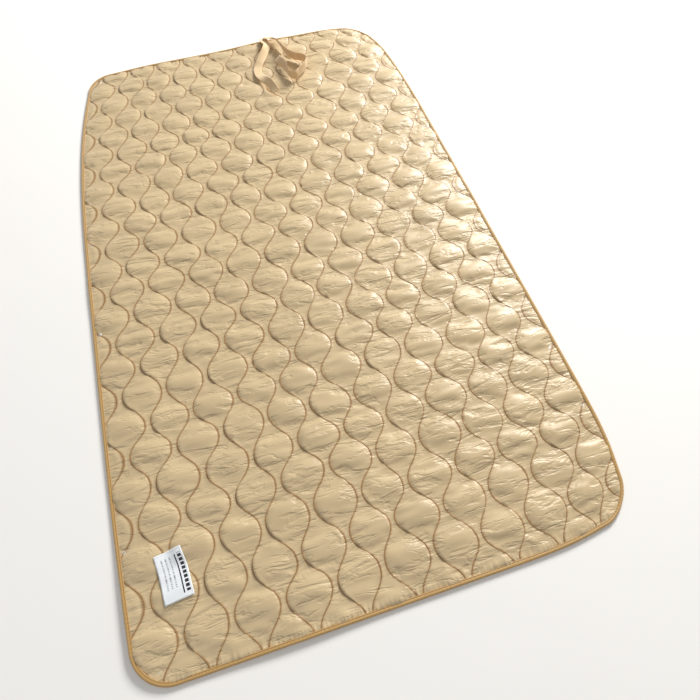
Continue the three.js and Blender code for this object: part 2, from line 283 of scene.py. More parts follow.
def puff(quilt):
    """Cloth simulation. The cut cloth is larger than the sewn blanket. Its seams are drawn up to their sewn
    places while the wadding pushes it out, and what is spare makes the puffs and their wrinkles."""
    s = sizes()
    rng = np.random.default_rng(11)
    ripple = rng.normal(0, 0.25 * MM, quilt.x.shape)
    pinned = quilt.on_seam | (quilt.inset < 8 * MM)
    start = quilt.face.copy()
    start[..., :2] = quilt.cut
    start[..., 2] = np.where(pinned, quilt.base, quilt.base + 3 * MM * quilt.hump + ripple)
    cut = start.copy()
    cut[..., 0] *= 1 + s.spare_across
    cut[..., 1] *= 1 + s.spare_along
    order = np.full(quilt.x.size, -1)
    order[quilt.used] = np.arange(len(quilt.used))
    mesh = bpy.data.meshes.new("cloth")
    mesh.from_pydata(cut.reshape(-1, 3)[quilt.used], [], order[quilt.faces])
    cloth_piece = bpy.data.objects.new("cloth", mesh)
    bpy.context.scene.collection.objects.link(cloth_piece)
    cloth_piece.shape_key_add(name="cut")
    sewn = cloth_piece.shape_key_add(name="sewn")
    sewn.data.foreach_set("co", start.reshape(-1, 3)[quilt.used].ravel().astype(np.float32))
    for value, at in ((0, 1), (1, DRAWN_UP)):
        sewn.value = value
        sewn.keyframe_insert("value", frame=at)
    held = cloth_piece.vertex_groups.new(name="held")
    held.add(np.nonzero(pinned.ravel()[quilt.used])[0].tolist(), 1.0, "REPLACE")
    cloth = cloth_piece.modifiers.new("cloth", "CLOTH")
    for key, value in {
        "quality": 4, "mass": 0.3, "pin_stiffness": 1, "vertex_group_mass": "held", "use_pressure": True,
        "uniform_pressure_force": s.pressure, "tension_stiffness": 15, "compression_stiffness": 15,
        "shear_stiffness": 8, "bending_stiffness": 0.18, "tension_damping": 15, "compression_damping": 15,
        "shear_damping": 10, "bending_damping": 0.5, "air_damping": 0.6,
    }.items():
        setattr(cloth.settings, key, value)
    cloth.settings.effector_weights.gravity = 0
    cloth.collision_settings.use_collision = False
    cloth.point_cache.frame_end = SETTLED
    for step in range(1, SETTLED + 1):
        bpy.context.scene.frame_set(step)
    settled = cloth_piece.evaluated_get(bpy.context.evaluated_depsgraph_get()).to_mesh()
    points = np.empty(len(quilt.used) * 3, np.float32)
    settled.vertices.foreach_get("co", points)
    bpy.context.scene.frame_set(1)
    bpy.data.objects.remove(cloth_piece)
    bpy.data.meshes.remove(mesh)
    quilt.face.reshape(-1, 3)[quilt.used] = points.reshape(-1, 3)
    eased = (quilt.face[:-2] + 2 * quilt.face[1:-1] + quilt.face[2:]) / 4
    quilt.face[1:-1] = np.where(pinned[1:-1, :, None], quilt.face[1:-1], eased)
    beyond = quilt.inset < RIM
    quilt.face[beyond, 0] = quilt.x[beyond]
    quilt.face[beyond, 1] = quilt.flat_y[beyond]


def quilt():
    """The quilted cloth, worked out once."""
    if not QUILT:
        made = Quilt()
        puff(made)
        made.face[..., 0], made.face[..., 1] = hold_inside(made.face[..., 0], made.face[..., 1], RIM)
        above = np.maximum(made.face[..., 2] - made.base, 0)
        above = MOST_PUFF * np.tanh(above / MOST_PUFF)
        from_fold = (made.flat_y - 0.015 - 0.06 * made.x) / (9 * MM)
        above *= 1 - 0.55 * np.exp(-(from_fold**2)) * smooth(0.3, -0.1, made.x)
        gather = edge_gather(made.x, made.flat_y) * smooth(26 * MM, 11 * MM, made.inset)
        gather *= smooth(4 * MM, 9 * MM, made.inset)
        made.face[..., 2] = made.base + above + gather
        made.under = made.face.copy()
        made.under[..., 2] = FLOOR_GAP + soft_floor(made.base - made.gap - 0.62 * above - FLOOR_GAP, 1.2 * MM)
        QUILT.append(made)
    return QUILT[0]


def edge_gather(x, y):
    """Small gathers square to the edge: a wave of about 7 mm along the nearest side, whose size and phase
    wander."""
    nearer_side = (HALF_WIDTH - np.abs(x)) < (HALF_LENGTH - np.abs(y))
    along = np.where(nearer_side, y, x)
    phase = along / (7 * MM) * 2 * math.pi + 2.2 * np.sin(along * 61) + 1.4 * np.sin(along * 137 + 1)
    size = 0.55 + 0.45 * np.sin(along * 23 + 4 * np.sin(along * 9))
    return 1.15 * MM * size * np.sin(phase)


# ---------------------------------------------------------------- mesh helpers


def add_piece(name, points, faces, material, uv=None, smooth_shade=True, values=None):
    """A mesh object from arrays. uv holds one pair per point, and values named numbers per point."""
    mesh = bpy.data.meshes.new(name)
    points = np.asarray(points, float).reshape(-1, 3)
    faces = np.asarray(faces)
    used = np.unique(faces)
    order = np.full(len(points), -1)
    order[used] = np.arange(len(used))
    mesh.from_pydata(points[used], [], order[faces])
    mesh.polygons.foreach_set("use_smooth", np.full(len(faces), smooth_shade))
    if uv is not None:
        layer = mesh.uv_layers.new(name="cloth")
        layer.data.foreach_set("uv", np.asarray(uv, np.float32).reshape(-1, 2)[faces.ravel()].ravel())
    for key, value in (values or {}).items():
        attribute = mesh.attributes.new(key, "FLOAT", "POINT")
        attribute.data.foreach_set("value", np.asarray(value, np.float32).ravel()[used])
    mesh.update()
    piece = bpy.data.objects.new(name, mesh)
    bpy.context.scene.collection.objects.link(piece)
    mesh.materials.append(material)
    return piece


def grid_faces(rows, columns, wrap_rows=False, wrap_columns=False):
    """Quads of a grid of points, closed on itself where wrapped."""
    r = np.arange(rows if wrap_rows else rows - 1)
    c = np.arange(columns if wrap_columns else columns - 1)
    a = r[:, None] * columns + c[None, :]
    b = r[:, None] * columns + (c[None, :] + 1) % columns
    up = ((r + 1) % rows)[:, None] * columns
    d, e = up + c[None, :], up + (c[None, :] + 1) % columns
    return np.stack([a, b, e, d], -1).reshape(-1, 4)


def closed(faces, below):
    """Quads of a solid sheet: the top's, the same turned over for the bottom, whose points come below further
    on in the list, and those that join the two round their open edge."""
    edges = np.concatenate([faces[:, [i, (i + 1) % 4]] for i in range(4)])
    _, first, count = np.unique(np.sort(edges, 1), axis=0, return_index=True, return_counts=True)
    edge = edges[first[count == 1]]
    rim = np.stack([edge[:, 1], edge[:, 0], edge[:, 0] + below, edge[:, 1] + below], 1)
    return np.concatenate([faces, faces[:, ::-1] + below, rim])


def unit(vectors):
    """Vectors in the last axis, made 1 long."""
    return vectors / np.linalg.norm(vectors, axis=-1, keepdims=True)


def running_length(path):
    """Length along a path from its start to each of its points."""
    return np.concatenate([[0], np.cumsum(np.linalg.norm(np.diff(path, axis=0), axis=1))])


def spline(points, per_span):
    """A smooth curve through points of any number of values: each span is the cubic whose slope at a point is
    half the step between that point's neighbours."""
    p = np.asarray(points, float)
    p = np.concatenate([2 * p[:1] - p[1:2], p, 2 * p[-1:] - p[-2:-1]])
    t = np.arange(per_span)[None, :, None] / per_span
    a, b, c, d = (p[i : len(p) - 3 + i, None] for i in range(4))
    span = 0.5 * (2 * b + (c - a) * t + (2 * a - 5 * b + 4 * c - d) * t**2 + (3 * b - a - 3 * c + d) * t**3)
    return np.concatenate([span.reshape(-1, p.shape[1]), p[-2:-1]])


def stitched_tube(path, up, stitch, radius, sides=5, rings=4):
    """Points and faces of a thread along path, as a chain of stitches: a round bar whose radius shrinks to
    about a third between stitches."""
    run = running_length(path)
    count = max(2, int(run[-1] / stitch)) * rings + 1
    at = np.linspace(0, run[-1], count)
    centre = np.stack([np.interp(at, run, path[:, i]) for i in range(3)], 1)
    along = unit(np.gradient(centre, axis=0))
    side = unit(np.cross(along, up))
    normal = np.cross(side, along)
    size = radius * (0.35 + 0.65 * np.abs(np.sin(math.pi * np.arange(count) / rings)) ** 0.6)
    turn = 2 * math.pi * np.arange(sides) / sides
    ring = np.cos(turn)[None, :, None] * side[:, None] + np.sin(turn)[None, :, None] * normal[:, None]
    points = centre[:, None] + size[:, None, None] * ring
    return points.reshape(-1, 3), grid_faces(count, sides, wrap_columns=True)


def across_fold(piece):
    """The piece, with its placement baked into its mesh."""
    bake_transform(piece)
    return piece


# ---------------------------------------------------------------- materials


def add_node(tree, kind, settings=None, **inputs):
    """Adds a node. settings are its own values. inputs are its sockets by name, or by _number, each a value or
    a socket."""
    node = tree.nodes.new(kind)
    for key, value in (settings or {}).items():
        setattr(node, key, value)
    for key, value in inputs.items():
        socket = node.inputs[int(key[1:]) if key[0] == "_" else key.replace("_", " ")]
        if isinstance(value, bpy.types.NodeSocket):
            tree.links.new(value, socket)
        else:
            socket.default_value = value
    return node


def new_material(name, roughness, sheen, **constants):
    """A bare material, with its tree and its surface shader."""
    material = bpy.data.materials.new(name)
    material.use_nodes = True
    shader = material.node_tree.nodes["Principled BSDF"]
    shader.inputs["Roughness"].default_value = roughness
    shader.inputs["Sheen Weight"].default_value = sheen
    for key, value in constants.items():
        shader.inputs[key.replace("_", " ")].default_value = value
    return material, material.node_tree, shader


def wave(tree, vector, scale, direction):
    """Even waves between 0 and 1 along one direction of a map."""
    settings = {"bands_direction": direction}
    return add_node(tree, "ShaderNodeTexWave", settings, Vector=vector, Scale=scale).outputs["Fac"]


def ramp(tree, factor, stops):
    """A colour ramp of (place, colour) stops."""
    node = add_node(tree, "ShaderNodeValToRGB", Fac=factor)
    elements = node.color_ramp.elements
    while len(elements) < len(stops):
        elements.new(0.5)
    for element, (place, colour) in zip(elements, stops):
        element.position = place
        element.color = (*colour[:3], 1)
    return node.outputs["Color"]


def tint(colour, factor):
    """A colour made lighter or darker."""
    return tuple(min(1, c * factor) for c in colour)


def object_place(tree, scale=None):
    """Object coordinates, stretched by scale where it is given."""
    place = add_node(tree, "ShaderNodeTexCoord").outputs["Object"]
    if scale is None:
        return place
    return add_node(tree, "ShaderNodeMapping", Vector=place, Scale=scale).outputs[0]


def cloth_map(tree):
    """The piece's own map, in metres, or in shares of the label."""
    return add_node(tree, "ShaderNodeUVMap", {"uv_map": "cloth"}).outputs["UV"]


def mask(tree, name):
    """A value that the piece's points carry."""
    return add_node(tree, "ShaderNodeAttribute", {"attribute_name": name}).outputs["Fac"]


def noise(tree, vector, scale, detail=2.0, **inputs):
    """Cloudy noise between 0 and 1."""
    inputs |= {"Vector": vector, "Scale": scale, "Detail": detail}
    return add_node(tree, "ShaderNodeTexNoise", **inputs).outputs["Fac"]


def calculate(tree, operation, *values):
    """The result of one sum on values or sockets."""
    inputs = {f"_{i}": value for i, value in enumerate(values)}
    return add_node(tree, "ShaderNodeMath", {"operation": operation}, **inputs).outputs[0]


def colour_mix(tree, factor, first, second):
    """first where factor is 0, and second where it is 1."""
    settings = {"data_type": "RGBA"}
    return add_node(tree, "ShaderNodeMix", settings, Factor=factor, _6=first, _7=second).outputs[2]


def relief(tree, strength, distance, height, **normal):
    """Bumps of a height, on the plain surface or on another relief."""
    inputs = {"Strength": strength, "Distance": distance, "Height": height, **normal}
    return add_node(tree, "ShaderNodeBump", **inputs).outputs[0]


def satin_material(name, colour, painted_seam_shade, roughness, wrinkle):
    """Polyester satin: long floats of filament yarn, calendered smooth. It has broad soft highlights and a
    faint crosswise grain. Inside the seams its colour is painted deeper and warmer: painted shade, and the
    painted glow of the cloth lighting itself in the grooves."""
    material, tree, shader = new_material(name, roughness, 0.25, Sheen_Roughness=0.4, Specular_IOR_Level=0.55)
    cloudy = noise(tree, object_place(tree), 7, 3, Roughness=0.6)
    body = ramp(tree, cloudy, [(0.3, tint(colour, 0.93)), (0.7, tint(colour, 1.06))])
    # Painted shade: the colour turns to the painted seam shade colour in the seams' grooves.
    tree.links.new(colour_mix(tree, mask(tree, "seam"), body, (*painted_seam_shade, 1)), shader.inputs["Base Color"])
    # Yarns are about 0.12 mm, too fine to show, so the grain is drawn at 1.6 mm along and 5 mm across.
    grain = noise(tree, object_place(tree, (200, 620, 200)), 1)
    # The gathers that a drawn-up edge makes run square to it.
    tucks = []
    for drawn, scale in (("drawn_side", (14, 150, 14)), ("drawn_end", (150, 14, 14))):
        ruck = noise(tree, object_place(tree, scale), 1, 1)
        tucks.append(calculate(tree, "MULTIPLY", ruck, mask(tree, drawn)))
    tight = relief(tree, 0.8, 3.5 * MM, calculate(tree, "ADD", *tucks))
    # Creases are sharp valleys: the noise less its middle value, kept where it is below it.
    crease = noise(tree, object_place(tree, (19, 56, 40)), 1, 3, Roughness=0.55, Distortion=0.6)
    from_middle = calculate(tree, "SUBTRACT", crease, 0.5)
    valleys = calculate(tree, "SUBTRACT", from_middle, calculate(tree, "ABSOLUTE", from_middle))
    creased = relief(tree, wrinkle, 4 * MM, valleys, Normal=tight)
    tree.links.new(relief(tree, 0.12, 0.3 * MM, grain, Normal=creased), shader.inputs["Normal"])
    return material


def fibre_material(name, colour):
    """Bonded polyester wadding: matte white fibre, cloudy and soft."""
    material, tree, shader = new_material(name, 0.95, 0.3)
    tufts = noise(tree, object_place(tree), 160, 4)
    tree.links.new(ramp(tree, tufts, [(0.3, tint(colour, 0.85)), (0.7, colour)]), shader.inputs["Base Color"])
    tree.links.new(relief(tree, 0.5, 1 * MM, tufts), shader.inputs["Normal"])
    return material


def ribbed_material(name, colour, painted_furrow_shade, rib, roughness, sheen, slant=0.0):
    """Narrow woven cloth. Its ribs run across the strip's own map, rib apart, each rounded, with painted shade
    in its furrow and a painted highlight on its crest, and a little colour change along the strip. slant turns
    them, as on cloth cut on the bias."""
    material, tree, shader = new_material(name, roughness, sheen, Sheen_Roughness=0.5)
    flat = cloth_map(tree)
    scale = (1 / rib, 1 / rib, 1)
    turned = add_node(tree, "ShaderNodeMapping", Vector=flat, Rotation=(0, 0, slant), Scale=scale).outputs[0]
    ribs = wave(tree, turned, 0.5 / math.pi, "X")
    speckle = calculate(tree, "MULTIPLY_ADD", noise(tree, flat, 240, 3), 0.6, -0.3)
    # Painted shade in each rib's furrow and a painted highlight on its crest, where the ribs' wave is low and
    # high.
    stops = [(0.05, painted_furrow_shade), (0.55, colour), (1.0, tint(colour, 1.07))]
    tree.links.new(ramp(tree, calculate(tree, "ADD", ribs, speckle), stops), shader.inputs["Base Color"])
    tree.links.new(relief(tree, 0.45, 0.35 * MM, ribs), shader.inputs["Normal"])
    return material


def thread_material(name, colour):
    """Spun polyester sewing thread: two plies that catch the light in turn, drawn as patches of painted light
    and shade along it.
    """
    material, tree, shader = new_material(name, 0.5, 0.3)
    plies = noise(tree, object_place(tree), 900)
    # Painted light and shade: the thread's colour in lighter and darker patches.
    stops = [(0.35, tint(colour, 0.72)), (0.65, tint(colour, 1.2))]
    tree.links.new(ramp(tree, plies, stops), shader.inputs["Base Color"])
    return material


def label_material(name, ground, mark):
    """Damask-woven label: a smooth white ground with dark marks woven in, which are plain bars and rows of
    dashes. u runs across the label and v along it, both from 0 to 1."""
    material, tree, shader = new_material(name, 0.5, 0.2)
    flat = cloth_map(tree)
    u, v = add_node(tree, "ShaderNodeSeparateXYZ", Vector=flat).outputs[:2]

    def times(a, b):
        """Both masks at once."""
        return calculate(tree, "MULTIPLY", a, b)

    def between(value, low, high):
        """1 from low to high, and 0 elsewhere."""
        return times(calculate(tree, "GREATER_THAN", value, low), calculate(tree, "LESS_THAN", value, high))

    def repeated(value, count):
        """A share that starts again count times."""
        return calculate(tree, "FRACT", times(value, count))

    def box(u0, u1, v0, v1):
        """1 inside a rectangle, and 0 elsewhere."""
        return times(between(u, u0, u1), between(v, v0, v1))

    line = box(0.675, 0.72, 0.09, 0.87)
    blocks = times(box(0.79, 0.92, 0.10, 0.88), calculate(tree, "LESS_THAN", repeated(v, 11.5), 0.72))
    broken = add_node(tree, "ShaderNodeTexNoise", {"noise_dimensions": "1D"}, W=v, Scale=46, Detail=0)
    woven = calculate(tree, "GREATER_THAN", broken.outputs["Fac"], 0.47)
    dashes = times(between(repeated(u, 7.0), 0.3, 0.68), woven)
    small = times(times(dashes, box(0.11, 0.62, 0.24, 0.88)), 0.6)
    marks = calculate(tree, "MAXIMUM", calculate(tree, "MAXIMUM", line, blocks), small)
    tree.links.new(colour_mix(tree, marks, (*ground, 1), (*mark, 1)), shader.inputs["Base Color"])
    weave = add_node(tree, "ShaderNodeMapping", Vector=flat, Scale=(60, 100, 1)).outputs[0]
    tree.links.new(relief(tree, 0.2, 0.2 * MM, wave(tree, weave, 0.3, "Y")), shader.inputs["Normal"])
    return material


def floor_material(name, colour):
    """A smooth, matte studio floor, a shade off white, with the faintest unevenness."""
    material, tree, shader = new_material(name, 0.9, 0.0, Specular_IOR_Level=0.2)
    even = noise(tree, object_place(tree), 3)
    tree.links.new(ramp(tree, even, [(0.3, tint(colour, 0.99)), (0.7, colour)]), shader.inputs["Base Color"])
    return material


def shared(maker, name, *values):
    """The material of that name, made the first time it is asked for."""
    return bpy.data.materials.get(name) or maker(name, *values)


def thread():
    """The thread of the quilting, the binding and the tape's bar of stitches."""
    return shared(thread_material, "polyester_thread", tuple(colours().thread))


# ---------------------------------------------------------------- operators


class BLANKET_OT_stage(bpy.types.Operator):
    """Floor, lights and camera"""

    bl_idname = "blanket.stage"
    bl_label = "Stage"

    # The camera stands over the foot end, looks steeply down along the blanket, and leans a little.
    LENS = 27.46
    PLACE = (-0.0978, -0.8718, 1.0655)
    FORWARD = (0.12510, 0.45537, -0.88147)
    ROLL = math.radians(-2.247)

    def execute(self, context):
        scene = context.scene
        corners = [[-6, -6, 0], [6, -6, 0], [6, 8, 0], [-6, 8, 0]]
        smooth_floor = shared(floor_material, "studio_floor", tuple(colours().floor))
        add_piece("floor", corners, [[0, 1, 2, 3]], smooth_floor)
        scene.world = bpy.data.worlds.new("studio")
        scene.world.use_nodes = True
        background = scene.world.node_tree.nodes["Background"]
        background.inputs["Color"].default_value = (1, 0.99, 0.975, 1)
        background.inputs["Strength"].default_value = 0.36
        self.lamp(scene, "key_light", (3.3, 3.2, 2.5), 390, 1.6, (1, 0.985, 0.95))
        self.lamp(scene, "fill_light", (-1.6, -1.4, 2.2), 9, 2.4, (0.97, 0.98, 1))
        data = bpy.data.cameras.new("camera")
        data.sensor_width = 36
        data.lens = self.LENS
        camera = bpy.data.objects.new("camera", data)
        camera.location = self.PLACE
        camera.rotation_euler = Vector(self.FORWARD).to_track_quat("-Z", "Y").to_euler()
        camera.rotation_euler.rotate_axis("Z", self.ROLL)
        scene.collection.objects.link(camera)
        scene.camera = camera
        scene.view_settings.view_transform = "Standard"
        return {"FINISHED"}

    def lamp(self, scene, name, place, power, size, colour):
        """A square soft light that points at the middle of the blanket."""
        data = bpy.data.lights.new(name, "AREA")
        data.energy, data.size, data.color = power, size, colour
        lamp = bpy.data.objects.new(name, data)
        lamp.location = place
        lamp.rotation_euler = (-Vector(place)).to_track_quat("-Z", "Y").to_euler()
        scene.collection.objects.link(lamp)


class BLANKET_OT_covers(bpy.types.Operator):
    """Face fabric and backing fabric, puffed between their seams"""

    bl_idname = "blanket.covers"
    bl_label = "Covers"

    def execute(self, context):
        made = quilt()
        rim = smooth(26 * MM, 8 * MM, made.inset)
        past_diagonal = HALF_WIDTH - np.abs(made.x) - HALF_LENGTH + np.abs(made.flat_y)
        nearer_end = smooth(-30 * MM, 30 * MM, past_diagonal)
        marks = {
            # seam: how far the covers' colour turns to the painted seam shade, most in the middle of each seam.
            "seam": 0.95 * np.exp(-((made.from_seam / (2.1 * MM)) ** 2)),
            "drawn_side": np.maximum(rim * (1 - nearer_end), 0.8 * np.exp(-made.from_seam / (7 * MM))),
            "drawn_end": rim * nearer_end,
        }
        satin, backing, painted_seam_shade = (tuple(c) for c in (colours().satin, colours().backing, colours().painted_seam_shade))
        face_cloth = shared(satin_material, "polyester_satin", satin, painted_seam_shade, 0.42, 1.0)
        face = add_piece("satin_face_fabric", lay(made.face), made.faces, face_cloth, values=marks)
        back_cloth = shared(satin_material, "polyester_lining", backing, painted_seam_shade, 0.55, 0.3)
        back = add_piece("lining_back_fabric", lay(made.under), made.faces[:, ::-1], back_cloth, values=marks)
        for piece, node, slot in ((face, "face_fabric", "face"), (back, "backing_fabric", "backing")):
            across_fold(piece)
            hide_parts(f"foot_{node}", f"head_{node}")
        return {"FINISHED"}


class BLANKET_OT_wadding(bpy.types.Operator):
    """Wadding between the covers, pressed thin at every seam"""

    bl_idname = "blanket.wadding"
    bl_label = "Wadding"

    def execute(self, context):
        made = quilt()
        every = made.margin // 2
        face, under = made.face[::every, ::every], made.under[::every, ::every]
        inside = [hold_inside(g[..., 0], g[..., 1], WADDING_EDGE) for g in (face, under)]
        ceiling = extreme(made.face[..., 2], every + 1, np.minimum)[::every, ::every] - 0.4 * MM
        ground = extreme(made.under[..., 2], every + 1, np.maximum)[::every, ::every] + 0.3 * MM
        sewn = (made.base - 0.55 * made.gap)[::every, ::every]
        deep = smooth(14 * MM, 48 * MM, made.inset[::every, ::every])
        ceiling = np.minimum(ceiling, sewn + (ceiling - sewn) * deep)
        ground = np.maximum(ground, (made.base - 0.72 * made.gap)[::every, ::every] * (1 - deep))
        middle = (ceiling + ground) / 2
        half = np.maximum((ceiling - ground) / 2, 0.06 * MM)
        top = np.stack([*inside[0], middle + half], -1)
        bottom = np.stack([*inside[1], middle - half], -1)
        rows, columns = middle.shape
        out = (made.inset[::every, ::every] < WADDING_EDGE + 1e-6).ravel()
        faces = grid_faces(rows, columns)
        faces = faces[~out[faces].all(1)]
        points = np.concatenate([top.reshape(-1, 3), bottom.reshape(-1, 3)])
        whole = closed(faces, rows * columns)
        fibre = shared(fibre_material, "polyester_wadding", tuple(colours().fibre))
        piece = across_fold(add_piece("puffed_wadding", lay(points), whole, fibre))
        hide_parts("foot_wadding", "head_wadding")
        return {"FINISHED"}


class BLANKET_OT_seams(bpy.types.Operator):
    """Quilting threads, one along each seam"""

    bl_idname = "blanket.seams"
    bl_label = "Quilting threads"

    EDGE = RIM + 1 * MM  # from the outline to a thread's end
    STITCH, RADIUS = 4 * MM, 0.62 * MM
    PROUD = 0.35 * MM  # of the thread's middle line above its seam

    def execute(self, context):
        y = np.linspace(-HALF_LENGTH + self.EDGE, HALF_LENGTH - self.EDGE, 1500)
        middle = (SEAM_COUNT - 1) // 2
        for number in range(1, SEAM_COUNT + 1):
            x = seam_x(number - 1 - middle, y)
            inset = inset_of(x, y)
            low, high = np.nonzero(inset > self.EDGE)[0][[0, -1]]
            run = slice(low, high + 1)
            held_x, held_y = hold_inside(x[run], y[run], self.EDGE)
            path = lay(np.stack([held_x, held_y, seam_height(inset[run]) + self.PROUD], 1))
            points, faces = stitched_tube(path, UP, self.STITCH, self.RADIUS)
            piece = across_fold(add_piece(f"quilting_seam_{number:02d}", points, faces, thread()))
            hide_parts(*(f"{half}_quilting_thread_{number:02d}" for half in ("foot", "head")))
        return {"FINISHED"}


def outline(inset):
    """Points round the outline pushed in by inset, anticlockwise from the end of the right side. They are about
    OUTLINE_STEP apart on the outline itself, and there are as many of them for every inset."""
    corner = sizes().corner
    middles = np.array([(1, 1), (-1, 1), (-1, -1), (1, -1)]) * (HALF_WIDTH - corner, HALF_LENGTH - corner)
    turns = max(8, int(corner * math.pi / 2 / OUTLINE_STEP))
    points = []
    for quarter, (middle, after) in enumerate(zip(middles, np.roll(middles, -1, 0))):
        turn = (quarter + np.arange(turns + 1) / turns) * math.pi / 2
        arc = middle + (corner - inset) * np.stack([np.cos(turn), np.sin(turn)], 1)
        points.append(arc[:-1])
        count = int(np.abs(after - middle).sum() / OUTLINE_STEP)
        points.append(arc[-1] + (after - middle) * (np.arange(count) / count)[:, None])
    return np.concatenate(points)


class BLANKET_OT_binding(bpy.types.Operator):
    """Edge binding, folded over the rim, and its row of stitches"""

    bl_idname = "blanket.binding"
    bl_label = "Edge binding"

    # Section of the folded strip as (inset, height) in mm, round its outside from the top leg's end, and back.
    SECTION = (
        (8.9, 4.9), (8.8, 5.8), (8.0, 6.1), (7.0, 5.6), (5.8, 6.1), (4.2, 6.5), (2.4, 6.3), (1.0, 5.4),
        (0.2, 4.0), (0.2, 2.4), (0.9, 1.0), (2.6, 0.3), (6.0, 0.1), (8.4, 0.2), (9.0, 0.6), (8.7, 1.0),
        (4.0, 1.1), (1.5, 2.0), (1.5, 4.2), (4.0, 4.9),
    )

    def execute(self, context):
        station = outline(0)
        away = station - outline(1 * MM)
        run = running_length(station)
        phase = run / (6.6 * MM) * 2 * math.pi + 2 * np.sin(run * 47) + 1.3 * np.sin(run * 113)
        gather = 0.5 + 0.5 * np.sin(phase)
        roll = 0.5 * np.sin(run * 13 + 2 * np.sin(run * 5)) + 0.5 * np.sin(run * 31)
        section = np.array(self.SECTION)
        around = running_length(section)
        rows = []
        for inset, height in section:
            outer = np.clip((height - 3.4) / 2.8, 0, 1) * (inset < 8.5)
            push = 0.35 * gather * (1 if inset < 5 else -0.4) * outer
            ring = outline(inset * MM)
            z = (height + outer * (0.55 * gather - 0.2) + 0.35 * roll * (height > 5.5)) * MM
            rows.append(np.concatenate([ring + away * push[:, None], z[:, None]], 1))
        uv = np.stack(np.broadcast_arrays(run[:, None], around[None, :] * MM), -1)
        shades = tuple(colours().binding), tuple(colours().binding_furrow_shade)
        strip = shared(ribbed_material, "satin_bias_binding", *shades, 0.8 * MM, 0.42, 0.3, 0.7)
        faces = grid_faces(len(station), len(section), wrap_rows=True, wrap_columns=True)
        piece = add_piece("folded_edge_binding", lay(np.stack(rows, 1)), faces, strip, uv=uv)
        across_fold(piece)
        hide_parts("foot_edge_binding", "head_edge_binding")
        line = np.concatenate([outline(7 * MM), (6.0 + 0.35 * roll[:, None]) * MM], 1)
        line = lay(np.concatenate([line, line[:1]]))
        points, faces = stitched_tube(line, UP, 3.2 * MM, 0.5 * MM)
        stitches = across_fold(add_piece("binding_stitches", points, faces, thread()))
        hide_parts("foot_binding_thread", "head_binding_thread")
        return {"FINISHED"}


def local_heights(x, y, reach):
    """Highest point of the face within reach of each place, from a ring of samples."""
    made = quilt()
    turn = np.arange(8) * math.pi / 4
    found = [made.height_at(x, y)]
    for radius in (0.5 * reach, reach):
        found += [made.height_at(x + radius * math.cos(t), y + radius * math.sin(t)) for t in turn]
    return np.max(found, 0)


def extreme(grid, reach, pick):
    """The least or greatest value within reach steps along rows and columns, as pick is minimum or maximum."""
    for axis in (0, 1):
        padded = np.pad(grid, [(reach, reach) if i == axis else (0, 0) for i in (0, 1)], mode="edge")
        size = grid.shape[axis]
        grid = pick.reduce([np.take(padded, range(i, i + size), axis) for i in range(2 * reach + 1)])
    return grid


def blurred(grid, times):
    """Each value pulled towards the mean of its four neighbours, times over."""
    for _ in range(times):
        padded = np.pad(grid, 1, mode="edge")
        grid = (padded[2:, 1:-1] + padded[:-2, 1:-1] + padded[1:-1, 2:] + padded[1:-1, :-2]) / 4
    return grid


class BLANKET_OT_label(bpy.types.Operator):
    """Woven label and its stitching"""

    bl_idname = "blanket.label"
    bl_label = "Woven label"

    WIDTH, LENGTH, THICK, TURN = 52 * MM, 88 * MM, 0.5 * MM, math.radians(4)

    def execute(self, context):
        low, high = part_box("woven_label")
        self.centre = (np.array(low) + np.array(high))[:2] / 2
        across, along = 27, 45
        u, v = np.meshgrid(np.linspace(0, 1, across), np.linspace(0, 1, along))
        x, y = self.place(u, v)
        rest = local_heights(x.ravel(), y.ravel(), 3 * MM).reshape(x.shape)
        self.height = blurred(rest, 14)
        self.height += max(0, float((rest - self.height).max()) * 0.35) + 0.3 * MM
        top = np.stack([x, y, self.height + self.THICK], -1)
        bottom = np.stack([x, y, self.height], -1)
        uv = np.stack([u, v], -1)
        faces = grid_faces(along, across)
        cloth = shared(label_material, "damask_label", tuple(colours().label), tuple(colours().mark))
        points = lay(np.concatenate([top.reshape(-1, 3), bottom.reshape(-1, 3)]))
        whole = closed(faces, along * across)
        label = add_piece("damask_label", points, whole, cloth, uv=np.concatenate([uv.reshape(-1, 2)] * 2))
        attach(label, FOOT)
        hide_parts("woven_label")
        inset = 2.2 * MM
        du, dv = inset / self.WIDTH, inset / self.LENGTH
        corners = np.array([[du, dv], [1 - du, dv], [1 - du, 1 - dv], [du, 1 - dv], [du, dv]])
        shares = np.linspace(0, 1, 30, endpoint=False)[:, None]
        ring = np.concatenate([*(a + (b - a) * shares for a, b in zip(corners, corners[1:])), corners[-1:]])
        rx, ry = self.place(ring[:, 0], ring[:, 1])
        row = np.clip(ring[:, 1] * (along - 1), 0, along - 1).round().astype(int)
        column = np.clip(ring[:, 0] * (across - 1), 0, across - 1).round().astype(int)
        path = lay(np.stack([rx, ry, self.height[row, column] + self.THICK + 0.15 * MM], 1))
        points, faces = stitched_tube(path, UP, 2.6 * MM, 0.3 * MM)
        white = shared(thread_material, "white_thread", tuple(colours().label_thread))
        stitches = add_piece("label_stitches", points, faces, white)
        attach(stitches, FOOT)
        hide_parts("label_thread")
        return {"FINISHED"}

    def place(self, u, v):
        """Place on the flat blanket of a share u across and v along the label."""
        dx, dy = (u - 0.5) * self.WIDTH, (v - 0.5) * self.LENGTH
        c, s = math.cos(self.TURN), math.sin(self.TURN)
        return self.centre[0] + dx * c - dy * s, self.centre[1] + dx * s + dy * c


